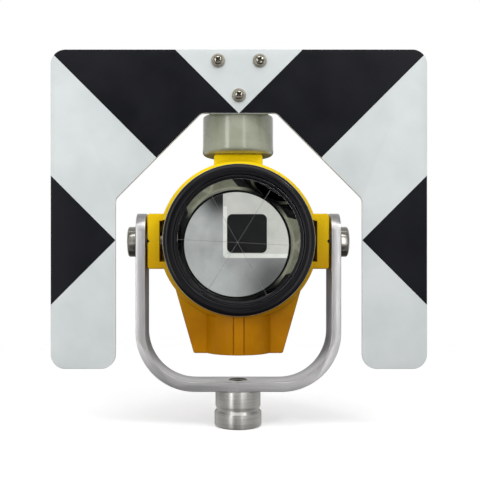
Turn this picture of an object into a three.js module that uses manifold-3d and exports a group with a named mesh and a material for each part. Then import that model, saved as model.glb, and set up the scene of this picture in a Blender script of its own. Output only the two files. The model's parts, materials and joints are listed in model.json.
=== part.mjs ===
// Survey prism: a glass corner-cube prism in a screw-in canister, carried by a tilting holder between
// the arms of a flat-bar yoke, with a target plate above it and a pole adapter below it.
// Millimetres, +Z up, the front looks along -Y. The origin is the centre of the adapter's bottom face.

import * as THREE from 'three';
import { mergeVertices } from 'three/addons/utils/BufferGeometryUtils.js';
import Module from 'manifold-3d';

const wasm = await Module();
wasm.setup();

// ---- Driving dimensions ----

// Clearances
const RUNNING_GAP = 0.2; // round a shaft that turns or a thread
const SEAT_GAP = 0.1; // between faces that seat on each other
const GAP = 0.3; // between neighbours that don't seat

// Pole adapter, female 5/8 inch thread
const ADAPTER_TALL = 19.5;
const ADAPTER_FOOT_R = 12.5;
const ADAPTER_NECK_R = 12;
const ADAPTER_GROOVE_R = 11.2;
const ADAPTER_GROOVE_LOW = 7.7;
const ADAPTER_GROOVE_HIGH = 10.9;
const ADAPTER_EDGE = 1; // chamfers
const POLE_THREAD_R = 6.75; // the thread's crests
const POLE_THREAD_DEEP = 13;

// Yoke, bent from flat bar
const PIVOT_HEIGHT = 98; // tilt axis above the adapter's bottom face
const BAR_THICK = 5;
const BAR_WIDE = 20;
const YOKE_BEND_R = 31; // outside radius of the two bends
const ARM_RISE = 15; // top of an arm above the tilt axis

// Screw that holds the adapter to the yoke
const ADAPTER_SCREW_R = 2.5;
const ADAPTER_SCREW_HEAD_R = 4.85;
const ADAPTER_SCREW_HEAD_TALL = 2.6;
const ADAPTER_SCREW_SOCKET_DEEP = 1.6;
const ADAPTER_SCREW_LONG = 6; // below its head
const ADAPTER_SCREW_SUNK = 0.6; // head below the bar's top face

// Pivot screws, washers and threaded bushes
const PIVOT_HEAD_R = 8;
const PIVOT_HEAD_THICK = 4.7;
const PIVOT_HEAD_EDGE = 1;
const PIVOT_SHOULDER_R = 4;
const PIVOT_THREAD_R = 3;
const PIVOT_SOCKET_R = 2.9; // hexagon, over its corners
const PIVOT_SOCKET_DEEP = 2.6;
const PIVOT_TIP_SHORT = 1; // from the screw's tip to the bush's inner end
const WASHER_THICK = 0.7;
const BUSH_SLEEVE_R = 4.6;
const BUSH_FLANGE_R = 5.2;
const BUSH_FLANGE_THICK = 4.4;

// Prism holder
const BARREL_WALL = 5.7;
const BARREL_LONG = 30;
const HOLDER_BODY_THICK = 16;
const LUG_PROUD = 6.6; // of the barrel
const LUG_HALF_TALL = 14.5;
const LUG_WALL = 6.3; // outside the pocket
const LUG_POCKET_HALF_TALL = 10.7;
const LUG_BACK_WALL = 2;
const LUG_EDGE = 1.2;
const NOTCH_TALL = 2.6; // height mark on each lug
const NOTCH_DEEP = 1.3;
const TOP_BLOCK_HALF_WIDE = 12.75;
const TOP_BLOCK_PROUD = 4.6; // of the barrel
const TOP_BLOCK_EDGE = 1.4;
const SKIRT_START_DEG = 36; // below the tilt axis, where the skirt's sides leave the barrel
const SKIRT_DROP = 17.6; // below the barrel
const SKIRT_LEDGE = 4.8; // each side of the boss at the foot
const BOSS_R = 18.5;
const BOSS_CORE_R = 14.5;
const BOSS_CORE_DEEP = 12;
const BOSS_RIB_WIDE = 4.8;
const BOSS_RIB_PROUD = 0.4;

// Corner-cube prism
const GLASS_R = 32;
const GLASS_RIM = 0.75; // straight rim in front of the shortest side of the three faces
const GLASS_TURN_DEG = -2; // about its own axis, from an edge lying level on the left

// Canister
const GLASS_ROOM = 0.4; // round the glass
const TUBE_WALL = 2.6;
const FLANGE_PROUD = 3.6; // of the tube
const FLANGE_THICK = 8.7;
const FLANGE_EDGE = 2; // rounding of the front rim
const FRONT_THREAD_STEP = 0.8; // outside the bore
const FRONT_THREAD_DEEP = 4;
const FRONT_RING_LIP = 0.9; // over the glass
const FRONT_RING_THICK = 1.8;
const GASKET_THICK = 0.6;
const CAP_NECK_STEP = 1.2; // outside the bore
const CAP_NECK_LONG = 5;
const CAP_NECK_WALL = 2;
const CAP_LONG = 9.4;
const CAP_EDGE = 2.5;
const CAP_FLOOR = 2.2;
const APEX_CLEAR = 0.9; // between the prism's point and the cap's floor
const CAP_RECESS_R = 12;
const CAP_RECESS_DEEP = 0.8;
const SEAL_THICK = 0.8;
const SEAL_WIDE = 1;
const CUSHION_LONG = 12;

// Target mount, its spigot and set screw
const MOUNT_R = 18.7;
const MOUNT_TALL = 20.2;
const MOUNT_EDGE = 1.5;
const SPIGOT_R = 6;
const SPIGOT_TALL = 12.5;
const SPIGOT_STUD_R = 4;
const SPIGOT_STUD_LONG = 7.5;
const SPIGOT_GROOVE_R = 5.2;
const SPIGOT_GROOVE_WIDE = 4.6;
const SET_SCREW_R = 2;
const SET_SCREW_HEIGHT = 7; // above the mount's foot
const SET_SCREW_LONG = 9;
const SET_SCREW_SOCKET_R = 1.1;
const SET_SCREW_SOCKET_DEEP = 2;
const TONGUE_HALF_WIDE = 15;
const TONGUE_THICK = 4;
const TONGUE_PROUD = 0.3; // in front of the mount
const TONGUE_SHORT = 1.3; // below the plate's top edge
const TONGUE_CORNER = 4;
const GUSSET_TALL = 12; // ribs between the tongue and the mount's top
const GUSSET_LONG = 11;
const GUSSET_THICK = 2.5;
const GUSSET_SIDE = 8;

// Target plate
const PLATE_THICK = 2;
const PLATE_HALF_WIDE = 95;
const PLATE_BAR_TALL = 32.3;
const PLATE_LEG_DROP = 65; // below the tilt axis
const PLATE_CORNER_R = 7.5;
const PLATE_OVERLAP = 1.9; // over the mount's top
const CUTOUT_TOP_HALF_WIDE = 19;
const LEG_CLEAR = 3.9; // between a leg and a pivot screw's head

// Target screws
const TARGET_SCREW_R = 1.5;
const TARGET_SCREW_HEAD_R = 2.8;
const TARGET_SCREW_HEAD_TALL = 2;
const TARGET_SCREW_HEAD_EDGE = 0.8;
const TARGET_SCREW_LONG = 8;
const TARGET_WASHER_R = 3.5;
const TARGET_WASHER_THICK = 0.5;
const TARGET_SCREW_SIDE = 10.5;
const TARGET_SCREW_BELOW_EDGE = 5.8; // upper pair, from the plate's top edge
const TARGET_SCREW_SPREAD = 17.5; // lower one, below the upper pair

// Facets round a full turn
const LARGE_TURN = 48;
const MEDIUM_TURN = 32;
const PIVOT_TURN = 24;
const SMALL_TURN = 16;
const HEXAGON = 6;
const ROUNDING_STEPS = 3;

// ---- Derived places ----

const BAR_LOW = ADAPTER_TALL;
const BAR_HIGH = BAR_LOW + BAR_THICK;
const CANISTER_BORE_R = GLASS_R + GLASS_ROOM;
const TUBE_R = CANISTER_BORE_R + TUBE_WALL;
const FLANGE_R = TUBE_R + FLANGE_PROUD;
const FRONT_THREAD_R = CANISTER_BORE_R + FRONT_THREAD_STEP;
const FRONT_RING_INSIDE_R = GLASS_R - FRONT_RING_LIP;
const CAP_NECK_R = CANISTER_BORE_R + CAP_NECK_STEP;
const BARREL_BORE_R = TUBE_R + GAP;
const BARREL_R = BARREL_BORE_R + BARREL_WALL;
const TOP_BLOCK_TOP = BARREL_R + TOP_BLOCK_PROUD;
const SKIRT_FOOT = -BARREL_R - SKIRT_DROP;
const LUG_OUTSIDE = BARREL_R + LUG_PROUD;
const ARM_INSIDE = LUG_OUTSIDE + WASHER_THICK + 2 * SEAT_GAP;
const ARM_OUTSIDE = ARM_INSIDE + BAR_THICK;
const ARM_TOP = PIVOT_HEIGHT + ARM_RISE;
const PIVOT_HEAD_INNER = ARM_OUTSIDE + SEAT_GAP;
const PIVOT_HEAD_OUTER = PIVOT_HEAD_INNER + PIVOT_HEAD_THICK;
const LUG_POCKET_SIDE = LUG_OUTSIDE - LUG_WALL;
const BUSH_INNER_END = LUG_POCKET_SIDE - SEAT_GAP - BUSH_FLANGE_THICK;
const BARREL_FRONT = -BARREL_LONG / 2;
const BARREL_BACK = BARREL_LONG / 2;
const BODY_FRONT = -HOLDER_BODY_THICK / 2;
const BODY_BACK = HOLDER_BODY_THICK / 2;
const FLANGE_BACK = BARREL_FRONT - SEAT_GAP;
const FLANGE_FRONT = FLANGE_BACK - FLANGE_THICK;
const GLASS_FRONT = FLANGE_FRONT + FRONT_THREAD_DEEP;
const GLASS_TALL = GLASS_R * Math.SQRT2 + GLASS_RIM;
const GLASS_APEX = GLASS_FRONT + GLASS_TALL;
const CAP_BACK = GLASS_APEX + APEX_CLEAR + CAP_FLOOR;
const CAP_FACE = CAP_BACK - CAP_LONG;
const TUBE_BACK = CAP_FACE - SEAL_THICK - 2 * SEAT_GAP;
const MOUNT_FOOT = PIVOT_HEIGHT + TOP_BLOCK_TOP + SEAT_GAP;
const MOUNT_TOP = MOUNT_FOOT + MOUNT_TALL;
const SET_SCREW_Z = MOUNT_FOOT + SET_SCREW_HEIGHT;
const TONGUE_FRONT = -MOUNT_R - TONGUE_PROUD;
const TONGUE_BACK = TONGUE_FRONT + TONGUE_THICK;
const PLATE_BACK = TONGUE_FRONT - SEAT_GAP;
const PLATE_FRONT = PLATE_BACK - PLATE_THICK;
const CUTOUT_TOP = MOUNT_TOP - PLATE_OVERLAP;
const PLATE_TOP = CUTOUT_TOP + PLATE_BAR_TALL;
const PLATE_FOOT = PIVOT_HEIGHT - PLATE_LEG_DROP;
const LEG_GAP_HALF_WIDE = PIVOT_HEAD_OUTER + LEG_CLEAR;
const TARGET_SCREW_HIGH = PLATE_TOP - TARGET_SCREW_BELOW_EDGE;
const TARGET_SCREWS = [
  { name: 'left', x: -TARGET_SCREW_SIDE, z: TARGET_SCREW_HIGH },
  { name: 'right', x: TARGET_SCREW_SIDE, z: TARGET_SCREW_HIGH },
  { name: 'lower', x: 0, z: TARGET_SCREW_HIGH - TARGET_SCREW_SPREAD },
];

// ---- Solids ----

const WELD_DISTANCE = 1e-4;

// A closed manifold-3d solid from a three.js geometry, without its zero-area faces.
function solidOf(geometry) {
  const bare = geometry.index ? geometry.toNonIndexed() : geometry.clone();
  bare.deleteAttribute('normal');
  bare.deleteAttribute('uv');
  const welded = mergeVertices(bare, WELD_DISTANCE);
  const corners = [];
  for (let i = 0; i < welded.index.count; i += 3) {
    const face = [0, 1, 2].map((k) => welded.index.getX(i + k));
    if (new Set(face).size === 3) corners.push(...face);
  }
  return new wasm.Manifold(new wasm.Mesh({
    numProp: 3,
    vertProperties: new Float32Array(welded.attributes.position.array),
    triVerts: new Uint32Array(corners),
  }));
}

function geometryOf(solid) {
  const mesh = solid.getMesh();
  const geometry = new THREE.BufferGeometry();
  geometry.setAttribute('position', new THREE.BufferAttribute(new Float32Array(mesh.vertProperties), 3));
  geometry.setIndex(new THREE.BufferAttribute(new Uint32Array(mesh.triVerts), 1));
  const faceted = geometry.toNonIndexed();
  faceted.computeVertexNormals();
  return faceted;
}

// The basis whose third axis is the named one, so that an outline's depth runs along it.
const DEPTH_ALONG = {
  x: new THREE.Matrix4().makeBasis(
    new THREE.Vector3(0, 1, 0), new THREE.Vector3(0, 0, 1), new THREE.Vector3(1, 0, 0)),
  y: new THREE.Matrix4().makeBasis(
    new THREE.Vector3(1, 0, 0), new THREE.Vector3(0, 0, 1), new THREE.Vector3(0, -1, 0)),
  z: new THREE.Matrix4(),
};

// An outline drawn in the plane across an axis, filled from `low` to `high` along that axis.
// Across x it is drawn in (y, z), across y in (x, z) and across z in (x, y).
function extruded(shape, axis, low, high, turn = MEDIUM_TURN) {
  const geometry = new THREE.ExtrudeGeometry(shape, {
    depth: high - low, bevelEnabled: false, curveSegments: turn / 4,
  });
  geometry.translate(0, 0, axis === 'y' ? -high : low);
  return solidOf(geometry.applyMatrix4(DEPTH_ALONG[axis]));
}

function polygon(points) {
  return new THREE.Shape(points.map(([u, v]) => new THREE.Vector2(u, v)));
}

function box(x, y, z) {
  return extruded(polygon([[x[0], y[0]], [x[1], y[0]], [x[1], y[1]], [x[0], y[1]]]), 'z', z[0], z[1]);
}

// A block whose four edges along y are bevelled.
function bevelledBlock(x, y, z, bevel) {
  return extruded(polygon([
    [x[0] + bevel, z[0]], [x[1] - bevel, z[0]], [x[1], z[0] + bevel], [x[1], z[1] - bevel],
    [x[1] - bevel, z[1]], [x[0] + bevel, z[1]], [x[0], z[1] - bevel], [x[0], z[0] + bevel],
  ]), 'y', y[0], y[1]);
}

// A turned solid: [radius, height] points, anticlockwise with the radius to the right, closed or on the axis.
function turned(profile, axis, turn) {
  const points = profile.map(([r, h]) => new THREE.Vector2(r, h));
  const onAxis = points[0].x === 0 && points[points.length - 1].x === 0;
  if (!onAxis) points.push(points[0].clone());
  const geometry = new THREE.LatheGeometry(points, turn);
  if (axis === 'x') geometry.rotateZ(-Math.PI / 2);
  if (axis === 'z') geometry.rotateX(Math.PI / 2);
  return solidOf(geometry);
}

function cylinder(axis, radius, low, high, turn = MEDIUM_TURN) {
  return turned([[0, low], [radius, low], [radius, high], [0, high]], axis, turn);
}

function ring(axis, inside, outside, low, high, turn = MEDIUM_TURN) {
  return turned([[inside, low], [outside, low], [outside, high], [inside, high]], axis, turn);
}

// ---- Materials ----

const finish = (color, roughness, metalness) => () =>
  new THREE.MeshStandardMaterial({ color, roughness, metalness });

const BRUSHED_ALUMINIUM = finish(0xb9b7b6, 0.38, 1);
const STAINLESS_STEEL = finish(0xc6c5bf, 0.22, 1);
const NICKEL = finish(0xb8b5ac, 0.18, 1);
const YELLOW = finish(0xc48a06, 0.42, 0);
const BLACK_ANODISED = finish(0x17181a, 0.22, 0.6);
const RUBBER = finish(0x1c1c1c, 0.8, 0);
const FOAM = finish(0x3a3a3c, 0.95, 0);
const GLASS = finish(0xc4cbcb, 0.03, 0);
const GREY = finish(0xa3a692, 0.3, 0);
const PLATE_PAINT = finish(0xd3dadc, 0.45, 0);
const NYLON = finish(0x23201d, 0.6, 0);

const group = new THREE.Group();
group.name = 'survey_prism';

function place(name, solid, material) {
  const mesh = new THREE.Mesh(geometryOf(solid), material());
  mesh.name = name;
  group.add(mesh);
  return mesh;
}

// ---- Yoke and pole adapter ----

// A U of flat bar: two bends of one radius, arms with round tops.
function yoke() {
  const side = ARM_OUTSIDE;
  const bendIn = YOKE_BEND_R - BAR_THICK;
  const outline = new THREE.Shape();
  outline.moveTo(-side, ARM_TOP);
  outline.lineTo(-side, BAR_LOW + YOKE_BEND_R);
  outline.absarc(-side + YOKE_BEND_R, BAR_LOW + YOKE_BEND_R, YOKE_BEND_R, Math.PI, 1.5 * Math.PI);
  outline.lineTo(side - YOKE_BEND_R, BAR_LOW);
  outline.absarc(side - YOKE_BEND_R, BAR_LOW + YOKE_BEND_R, YOKE_BEND_R, -Math.PI / 2, 0);
  outline.lineTo(side, ARM_TOP);
  outline.lineTo(ARM_INSIDE, ARM_TOP);
  outline.lineTo(ARM_INSIDE, BAR_HIGH + bendIn);
  outline.absarc(ARM_INSIDE - bendIn, BAR_HIGH + bendIn, bendIn, 0, -Math.PI / 2, true);
  outline.lineTo(-ARM_INSIDE + bendIn, BAR_HIGH);
  outline.absarc(-ARM_INSIDE + bendIn, BAR_HIGH + bendIn, bendIn, 1.5 * Math.PI, Math.PI, true);
  outline.lineTo(-ARM_INSIDE, ARM_TOP);
  const bar = extruded(outline, 'y', -BAR_WIDE / 2, BAR_WIDE / 2, LARGE_TURN);

  const half = BAR_WIDE / 2;
  const face = new THREE.Shape();
  face.moveTo(-half, BAR_LOW);
  face.lineTo(half, BAR_LOW);
  face.lineTo(half, ARM_TOP - half);
  face.absarc(0, ARM_TOP - half, half, 0, Math.PI);
  const roundTops = extruded(face, 'x', -side - GAP, side + GAP);

  const pivotHoles = cylinder('x', PIVOT_SHOULDER_R + RUNNING_GAP, -side - GAP, side + GAP, SMALL_TURN)
    .translate(0, 0, PIVOT_HEIGHT);
  const screwHole = cylinder('z', ADAPTER_SCREW_R + RUNNING_GAP, BAR_LOW - GAP, BAR_HIGH + GAP, SMALL_TURN);
  const seat = BAR_HIGH - ADAPTER_SCREW_SUNK - ADAPTER_SCREW_HEAD_TALL - SEAT_GAP;
  const headRecess = cylinder('z', ADAPTER_SCREW_HEAD_R + RUNNING_GAP, seat, BAR_HIGH + GAP, SMALL_TURN);
  return bar.intersect(roundTops).subtract(pivotHoles).subtract(screwHole).subtract(headRecess);
}

function poleAdapter() {
  const groove = (ADAPTER_GROOVE_LOW + ADAPTER_GROOVE_HIGH) / 2;
  const body = turned([
    [0, 0],
    [ADAPTER_FOOT_R - ADAPTER_EDGE, 0],
    [ADAPTER_FOOT_R, ADAPTER_EDGE],
    [ADAPTER_FOOT_R, ADAPTER_GROOVE_LOW],
    [ADAPTER_GROOVE_R, groove],
    [ADAPTER_NECK_R, ADAPTER_GROOVE_HIGH],
    [ADAPTER_NECK_R, ADAPTER_TALL - SEAT_GAP],
    [0, ADAPTER_TALL - SEAT_GAP],
  ], 'z', MEDIUM_TURN);
  const poleBore = cylinder('z', POLE_THREAD_R, -GAP, POLE_THREAD_DEEP);
  const screwBore = cylinder('z', ADAPTER_SCREW_R + RUNNING_GAP, 0, ADAPTER_TALL, SMALL_TURN);
  return body.subtract(poleBore).subtract(screwBore);
}

// A cheese-head screw with a hexagon socket, sunk in the yoke's bar.
function adapterScrew() {
  const top = BAR_HIGH - ADAPTER_SCREW_SUNK;
  const seat = top - ADAPTER_SCREW_HEAD_TALL;
  const body = turned([
    [0, seat - ADAPTER_SCREW_LONG],
    [ADAPTER_SCREW_R, seat - ADAPTER_SCREW_LONG],
    [ADAPTER_SCREW_R, seat],
    [ADAPTER_SCREW_HEAD_R, seat],
    [ADAPTER_SCREW_HEAD_R, top],
    [0, top],
  ], 'z', SMALL_TURN);
  return body.subtract(cylinder('z', ADAPTER_SCREW_R, top - ADAPTER_SCREW_SOCKET_DEEP, top + GAP, HEXAGON));
}

// ---- Pivots; side is -1 for the left one and +1 for the right one ----

// Turned solids are drawn for the right-hand side and faced left by half a turn about z.
const faced = (solid, side) => solid.rotate(0, 0, side < 0 ? 180 : 0).translate(0, 0, PIVOT_HEIGHT);

function pivotScrew(side) {
  const tip = BUSH_INNER_END + PIVOT_TIP_SHORT;
  const inner = PIVOT_HEAD_INNER;
  const outer = PIVOT_HEAD_OUTER;
  const body = turned([
    [0, tip],
    [PIVOT_THREAD_R, tip],
    [PIVOT_THREAD_R, ARM_INSIDE + SEAT_GAP],
    [PIVOT_SHOULDER_R, ARM_INSIDE + SEAT_GAP],
    [PIVOT_SHOULDER_R, inner],
    [PIVOT_HEAD_R, inner],
    [PIVOT_HEAD_R, outer - PIVOT_HEAD_EDGE],
    [PIVOT_HEAD_R - PIVOT_HEAD_EDGE, outer],
    [0, outer],
  ], 'x', PIVOT_TURN);
  const socket = cylinder('x', PIVOT_SOCKET_R, outer - PIVOT_SOCKET_DEEP, outer + GAP, HEXAGON);
  return faced(body.subtract(socket), side);
}

function frictionWasher(side) {
  const low = LUG_OUTSIDE + SEAT_GAP;
  const inside = PIVOT_THREAD_R + RUNNING_GAP;
  return faced(ring('x', inside, PIVOT_HEAD_R, low, low + WASHER_THICK, PIVOT_TURN), side);
}

// A threaded bush pressed into the lug, its flange inside the pocket.
function pivotBush(side) {
  const flangeFace = LUG_POCKET_SIDE - SEAT_GAP;
  const inside = PIVOT_THREAD_R + RUNNING_GAP;
  return faced(turned([
    [inside, BUSH_INNER_END],
    [BUSH_FLANGE_R, BUSH_INNER_END],
    [BUSH_FLANGE_R, flangeFace],
    [BUSH_SLEEVE_R, flangeFace],
    [BUSH_SLEEVE_R, LUG_OUTSIDE - GAP],
    [inside, LUG_OUTSIDE - GAP],
  ], 'x', PIVOT_TURN), side);
}

// ---- Holder ----

function prismHolder() {
  const bodyY = [BODY_FRONT, BODY_BACK];
  const barrel = cylinder('y', BARREL_R, BARREL_FRONT, BARREL_BACK, LARGE_TURN);
  const lugs = bevelledBlock([-LUG_OUTSIDE, LUG_OUTSIDE], bodyY, [-LUG_HALF_TALL, LUG_HALF_TALL], LUG_EDGE);
  const topBlock = bevelledBlock(
    [-TOP_BLOCK_HALF_WIDE, TOP_BLOCK_HALF_WIDE], bodyY, [0, TOP_BLOCK_TOP], TOP_BLOCK_EDGE);
  const start = THREE.MathUtils.degToRad(SKIRT_START_DEG);
  const [startX, startZ] = [BARREL_R * Math.cos(start), -BARREL_R * Math.sin(start)];
  const footX = BOSS_R + SKIRT_LEDGE;
  const skirt = extruded(polygon([
    [-footX, SKIRT_FOOT], [footX, SKIRT_FOOT], [startX, startZ], [-startX, startZ],
  ]), 'y', ...bodyY);
  const bossTop = -BARREL_BORE_R;
  const boss = cylinder('z', BOSS_R, SKIRT_FOOT, bossTop, MEDIUM_TURN);
  const ribHalf = BOSS_RIB_WIDE / 2;
  const rib = box([-ribHalf, ribHalf], [-BOSS_R - BOSS_RIB_PROUD, 0], [SKIRT_FOOT, bossTop]);
  const core = cylinder('z', BOSS_CORE_R, SKIRT_FOOT - GAP, SKIRT_FOOT + BOSS_CORE_DEEP, MEDIUM_TURN);
  const bore = cylinder('y', BARREL_BORE_R, BARREL_FRONT - GAP, BARREL_BACK + GAP, LARGE_TURN);
  const flangeRoom = cylinder('y', FLANGE_R + GAP, -BOSS_R - BOSS_RIB_PROUD - GAP, BARREL_FRONT, LARGE_TURN);

  let holder = barrel.add(lugs).add(topBlock).add(skirt).add(boss).add(rib)
    .subtract(core).subtract(bore).subtract(flangeRoom);
  const bushHole = BUSH_SLEEVE_R + RUNNING_GAP;
  const notchHalf = NOTCH_TALL / 2;
  for (const side of [-1, 1]) {
    const pocketX = [side * LUG_POCKET_SIDE, 0].sort((a, b) => a - b);
    const pocketZ = [-LUG_POCKET_HALF_TALL, LUG_POCKET_HALF_TALL];
    const notch = extruded(polygon([
      [LUG_OUTSIDE - NOTCH_DEEP, 0], [LUG_OUTSIDE + GAP, -notchHalf], [LUG_OUTSIDE + GAP, notchHalf],
    ]), 'y', BODY_FRONT - GAP, BODY_BACK + GAP);
    holder = holder
      .subtract(box(pocketX, [BARREL_FRONT - GAP, BODY_BACK - LUG_BACK_WALL], pocketZ))
      .subtract(cylinder('x', bushHole, LUG_POCKET_SIDE - GAP, LUG_OUTSIDE + GAP, PIVOT_TURN)
        .rotate(0, 0, side < 0 ? 180 : 0))
      .subtract(notch.rotate(0, 0, side < 0 ? 180 : 0));
  }
  const studHole = cylinder('z', SPIGOT_STUD_R + RUNNING_GAP,
    TOP_BLOCK_TOP - SPIGOT_STUD_LONG - SEAT_GAP, TOP_BLOCK_TOP + GAP, SMALL_TURN);
  return holder.subtract(studHole).translate(0, 0, PIVOT_HEIGHT);
}

// ---- Canister and what it holds ----

// Points of a quarter round from one angle to the other, in [radius, height].
function quarterRound(r, h, radius, fromDeg, toDeg, steps = ROUNDING_STEPS) {
  return Array.from({ length: steps + 1 }, (_, i) => {
    const angle = THREE.MathUtils.degToRad(fromDeg + (toDeg - fromDeg) * i / steps);
    return [r + radius * Math.cos(angle), h + radius * Math.sin(angle)];
  });
}

const lifted = (solid) => solid.translate(0, 0, PIVOT_HEIGHT);

function canisterBody() {
  const neckSeat = TUBE_BACK - CAP_NECK_LONG - GAP;
  return lifted(turned([
    [FRONT_THREAD_R, FLANGE_FRONT],
    ...quarterRound(FLANGE_R - FLANGE_EDGE, FLANGE_FRONT + FLANGE_EDGE, FLANGE_EDGE, -90, 0),
    [FLANGE_R, FLANGE_BACK],
    [TUBE_R, FLANGE_BACK],
    [TUBE_R, TUBE_BACK],
    [CAP_NECK_R + RUNNING_GAP, TUBE_BACK],
    [CAP_NECK_R + RUNNING_GAP, neckSeat],
    [CANISTER_BORE_R, neckSeat],
    [CANISTER_BORE_R, GLASS_FRONT],
    [FRONT_THREAD_R, GLASS_FRONT],
  ], 'y', LARGE_TURN));
}

function frontRing() {
  const back = GLASS_FRONT - GASKET_THICK - 2 * SEAT_GAP;
  return lifted(ring('y', FRONT_RING_INSIDE_R, FRONT_THREAD_R - RUNNING_GAP,
    back - FRONT_RING_THICK, back, LARGE_TURN));
}

function frontGasket() {
  const back = GLASS_FRONT - SEAT_GAP;
  return lifted(ring('y', FRONT_RING_INSIDE_R, GLASS_R, back - GASKET_THICK, back, LARGE_TURN));
}

// A round glass blank with three ground faces at right angles to each other, meeting in a point.
function prismGlass() {
  const blank = cylinder('y', GLASS_R, GLASS_FRONT, GLASS_APEX, LARGE_TURN);
  const corner = new THREE.ConeGeometry(GLASS_TALL * Math.SQRT2, GLASS_TALL, 3);
  corner.translate(0, GLASS_APEX - GLASS_TALL / 2, 0);
  corner.rotateY(-Math.PI / 2 + THREE.MathUtils.degToRad(GLASS_TURN_DEG));
  return lifted(blank.intersect(solidOf(corner)));
}

// A foam ring whose cone bears on the prism's three edges.
function rearCushion() {
  const back = GLASS_APEX - CUSHION_LONG / 2;
  const front = back - CUSHION_LONG;
  const coneAt = (y) => (GLASS_APEX - y) * Math.SQRT2 + GAP;
  const outside = CAP_NECK_R - CAP_NECK_WALL - GAP;
  return lifted(turned([
    [coneAt(front), front], [outside, front], [outside, back], [coneAt(back), back],
  ], 'y', LARGE_TURN));
}

function capSeal() {
  const low = TUBE_BACK + SEAT_GAP;
  const inside = CAP_NECK_R + RUNNING_GAP;
  return lifted(ring('y', inside, inside + SEAL_WIDE, low, low + SEAL_THICK, LARGE_TURN));
}

function canisterCap() {
  const neckInside = CAP_NECK_R - CAP_NECK_WALL;
  const neckFront = TUBE_BACK - CAP_NECK_LONG;
  return lifted(turned([
    [0, CAP_BACK - CAP_FLOOR],
    [neckInside, CAP_BACK - CAP_FLOOR],
    [neckInside, neckFront],
    [CAP_NECK_R, neckFront],
    [CAP_NECK_R, CAP_FACE],
    [TUBE_R, CAP_FACE],
    ...quarterRound(TUBE_R - CAP_EDGE, CAP_BACK - CAP_EDGE, CAP_EDGE, 0, 90),
    [CAP_RECESS_R, CAP_BACK],
    [CAP_RECESS_R, CAP_BACK - CAP_RECESS_DEEP],
    [0, CAP_BACK - CAP_RECESS_DEEP],
  ], 'y', LARGE_TURN));
}

// ---- Target ----

function targetSpigot() {
  const foot = PIVOT_HEIGHT + TOP_BLOCK_TOP;
  const grooveHalf = SPIGOT_GROOVE_WIDE / 2;
  return turned([
    [0, foot - SPIGOT_STUD_LONG],
    [SPIGOT_STUD_R, foot - SPIGOT_STUD_LONG],
    [SPIGOT_STUD_R, foot + SEAT_GAP],
    [SPIGOT_R, foot + SEAT_GAP],
    [SPIGOT_R, SET_SCREW_Z - grooveHalf],
    [SPIGOT_GROOVE_R, SET_SCREW_Z - grooveHalf],
    [SPIGOT_GROOVE_R, SET_SCREW_Z + grooveHalf],
    [SPIGOT_R, SET_SCREW_Z + grooveHalf],
    [SPIGOT_R, foot + SPIGOT_TALL],
    [0, foot + SPIGOT_TALL],
  ], 'z', PIVOT_TURN);
}

// A round socket over the spigot, with an upright tongue at its front for the plate.
function targetMount() {
  const tongueTop = PLATE_TOP - TONGUE_SHORT;
  const barrel = turned([
    [0, MOUNT_FOOT],
    ...quarterRound(MOUNT_R - MOUNT_EDGE, MOUNT_FOOT + MOUNT_EDGE, MOUNT_EDGE, -90, 0),
    [MOUNT_R, MOUNT_TOP],
    [0, MOUNT_TOP],
  ], 'z', LARGE_TURN);
  const tongue = bevelledBlock([-TONGUE_HALF_WIDE, TONGUE_HALF_WIDE], [TONGUE_FRONT, TONGUE_BACK],
    [CUTOUT_TOP - TONGUE_CORNER, tongueTop], TONGUE_CORNER)
    .trimByPlane([0, 0, 1], CUTOUT_TOP);
  const socket = cylinder('z', SPIGOT_R + GAP, MOUNT_FOOT - GAP,
    MOUNT_FOOT + SPIGOT_TALL, PIVOT_TURN);
  const screwBore = cylinder('y', SET_SCREW_R + RUNNING_GAP, 0, MOUNT_R + GAP, SMALL_TURN)
    .translate(0, 0, SET_SCREW_Z);
  const gusset = extruded(polygon([
    [TONGUE_BACK - TONGUE_THICK / 2, MOUNT_TOP - MOUNT_EDGE],
    [TONGUE_BACK + GUSSET_LONG, MOUNT_TOP - MOUNT_EDGE],
    [TONGUE_BACK + GUSSET_LONG, MOUNT_TOP],
    [TONGUE_BACK, MOUNT_TOP + GUSSET_TALL],
    [TONGUE_BACK - TONGUE_THICK / 2, MOUNT_TOP + GUSSET_TALL],
  ]), 'x', -GUSSET_THICK / 2, GUSSET_THICK / 2);
  let mount = barrel.add(tongue)
    .add(gusset.translate(-GUSSET_SIDE, 0, 0)).add(gusset.translate(GUSSET_SIDE, 0, 0))
    .subtract(socket).subtract(screwBore);
  for (const { x, z } of TARGET_SCREWS) {
    mount = mount.subtract(cylinder('y', TARGET_SCREW_R + RUNNING_GAP,
      TONGUE_FRONT - GAP, TONGUE_BACK + GAP, SMALL_TURN).translate(x, 0, z));
  }
  return mount;
}

function mountSetScrew() {
  const tip = SPIGOT_GROOVE_R + GAP;
  const end = tip + SET_SCREW_LONG;
  const body = cylinder('y', SET_SCREW_R, tip, end, SMALL_TURN);
  const socket = cylinder('y', SET_SCREW_SOCKET_R, end - SET_SCREW_SOCKET_DEEP, end + GAP, HEXAGON);
  return body.subtract(socket).translate(0, 0, SET_SCREW_Z);
}

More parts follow.
